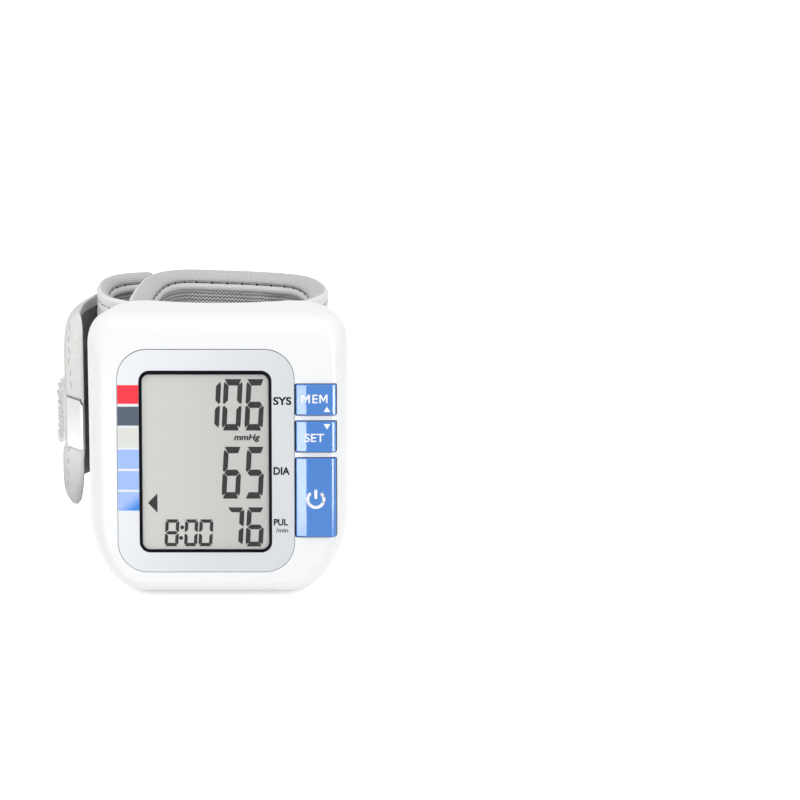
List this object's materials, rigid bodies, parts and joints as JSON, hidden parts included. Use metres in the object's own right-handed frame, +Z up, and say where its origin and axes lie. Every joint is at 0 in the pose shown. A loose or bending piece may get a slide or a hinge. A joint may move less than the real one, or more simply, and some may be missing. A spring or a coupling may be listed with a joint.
{
  "type": "wrist blood pressure monitor",
  "caption": "Pale wrist-worn monitor with a leaning display, colour scale and blue buttons on a rounded casing, carried by a padded cuff closed with a strap through a ring",
  "frame": {"origin": "the middle of the rear casing's flat base, on the surface it stands on", "axes": "+Z up, +X to the right of the display, +Y from the display to the wrist"},
  "size_m": [0.0767, 0.0758, 0.072],
  "materials": {
    "casing_white": "smooth moulded, soft gloss",
    "faceplate_silver": "pale silver film with a soft sheen",
    "frame_navy": "printed, glossy",
    "lens_clear": "clear, polished",
    "lcd_grey": "grey reflective display",
    "button_blue": "polished",
    "board_green": "solder mask",
    "component_black": "moulded",
    "steel": "bright",
    "clip_steel": "bright pressed sheet",
    "contact_brass": "plain",
    "cell_sleeve": "printed sleeve",
    "nylon": "natural",
    "silicone": "translucent",
    "cuff_cloth": "smooth woven",
    "cuff_lining_mesh": "knitted mesh",
    "cuff_binding_knit": "ribbed knit, stitched",
    "hook_tape": "fuzzy"
  },
  "bodies": {
    "casing": {"front_casing": "casing_white", "rear_casing": "casing_white", "faceplate": "faceplate_silver", "display_frame": "frame_navy", "display_lens": "lens_clear", "lcd_panel": "lcd_grey", "lcd_tray": "nylon", "zebra_connector": "component_black", "main_board": "board_green", "memory_switch": "component_black", "set_switch": "component_black", "power_switch": "component_black", "buzzer": "component_black", "pressure_sensor": "component_black", "case_screw_1": "steel", "case_screw_2": "steel", "case_screw_3": "steel", "case_screw_4": "steel", "battery_cell_1": "cell_sleeve", "battery_cell_2": "cell_sleeve", "battery_bridge_contact": "contact_brass", "battery_positive_contact": "contact_brass", "battery_negative_contact": "contact_brass", "pump_motor": "steel", "pump_head": "nylon", "release_valve": "steel", "air_manifold": "nylon", "air_tube_pump": "silicone", "air_tube_valve": "silicone", "air_nipple": "silicone", "cuff_mount_plate": "nylon", "cuff_cover": "cuff_cloth", "cuff_stiffener": "nylon", "cuff_bladder": "silicone", "cuff_lining": "cuff_lining_mesh", "cuff_binding_top": "cuff_binding_knit", "cuff_binding_bottom": "cuff_binding_knit", "closure_strap": "cuff_cloth", "cinch_ring": "steel", "ring_tab": "cuff_cloth"},
    "memory_button": {"memory_button": "button_blue"},
    "set_button": {"set_button": "button_blue"},
    "power_button": {"power_button": "button_blue"},
    "battery_cover": {"battery_cover": "casing_white"},
    "strap_tail": {"strap_tail": "cuff_cloth", "tail_clip": "clip_steel", "hook_patch": "hook_tape"},
    "pump_crank": {"pump_crank": "nylon"},
    "valve_plunger": {"valve_plunger": "contact_brass"}
  },
  "joints": [
    {"name": "memory_button_press", "type": "slide", "parent": "casing", "child": "memory_button", "axis": [0, 0.9945, -0.1045], "range_m": [0, 0.0008], "stiffness_N_per_m": 1500},
    {"name": "set_button_press", "type": "slide", "parent": "casing", "child": "set_button", "axis": [0, 0.9945, -0.1045], "range_m": [0, 0.0008], "stiffness_N_per_m": 1500},
    {"name": "power_button_press", "type": "slide", "parent": "casing", "child": "power_button", "axis": [0, 0.9945, -0.1045], "range_m": [0, 0.0008], "stiffness_N_per_m": 1500},
    {"name": "battery_cover_pull", "type": "slide", "parent": "casing", "child": "battery_cover", "axis": [1, 0, 0], "range_m": [0, 0.02]},
    {"name": "tail_swing", "type": "hinge", "parent": "casing", "child": "strap_tail", "pos_m": [-0.0336, 0.0452, 0], "axis": [0, 0, -1], "range_deg": [0, 60]},
    {"name": "pump_crank_spin", "type": "hinge", "parent": "casing", "child": "pump_crank", "pos_m": [-0.02, -0.0045, 0.039], "axis": [0, 0, 1], "continuous": true},
    {"name": "valve_plunger_lift", "type": "slide", "parent": "casing", "child": "valve_plunger", "axis": [0, 0, 1], "range_m": [0, 0.001], "stiffness_N_per_m": 200}
  ]
}
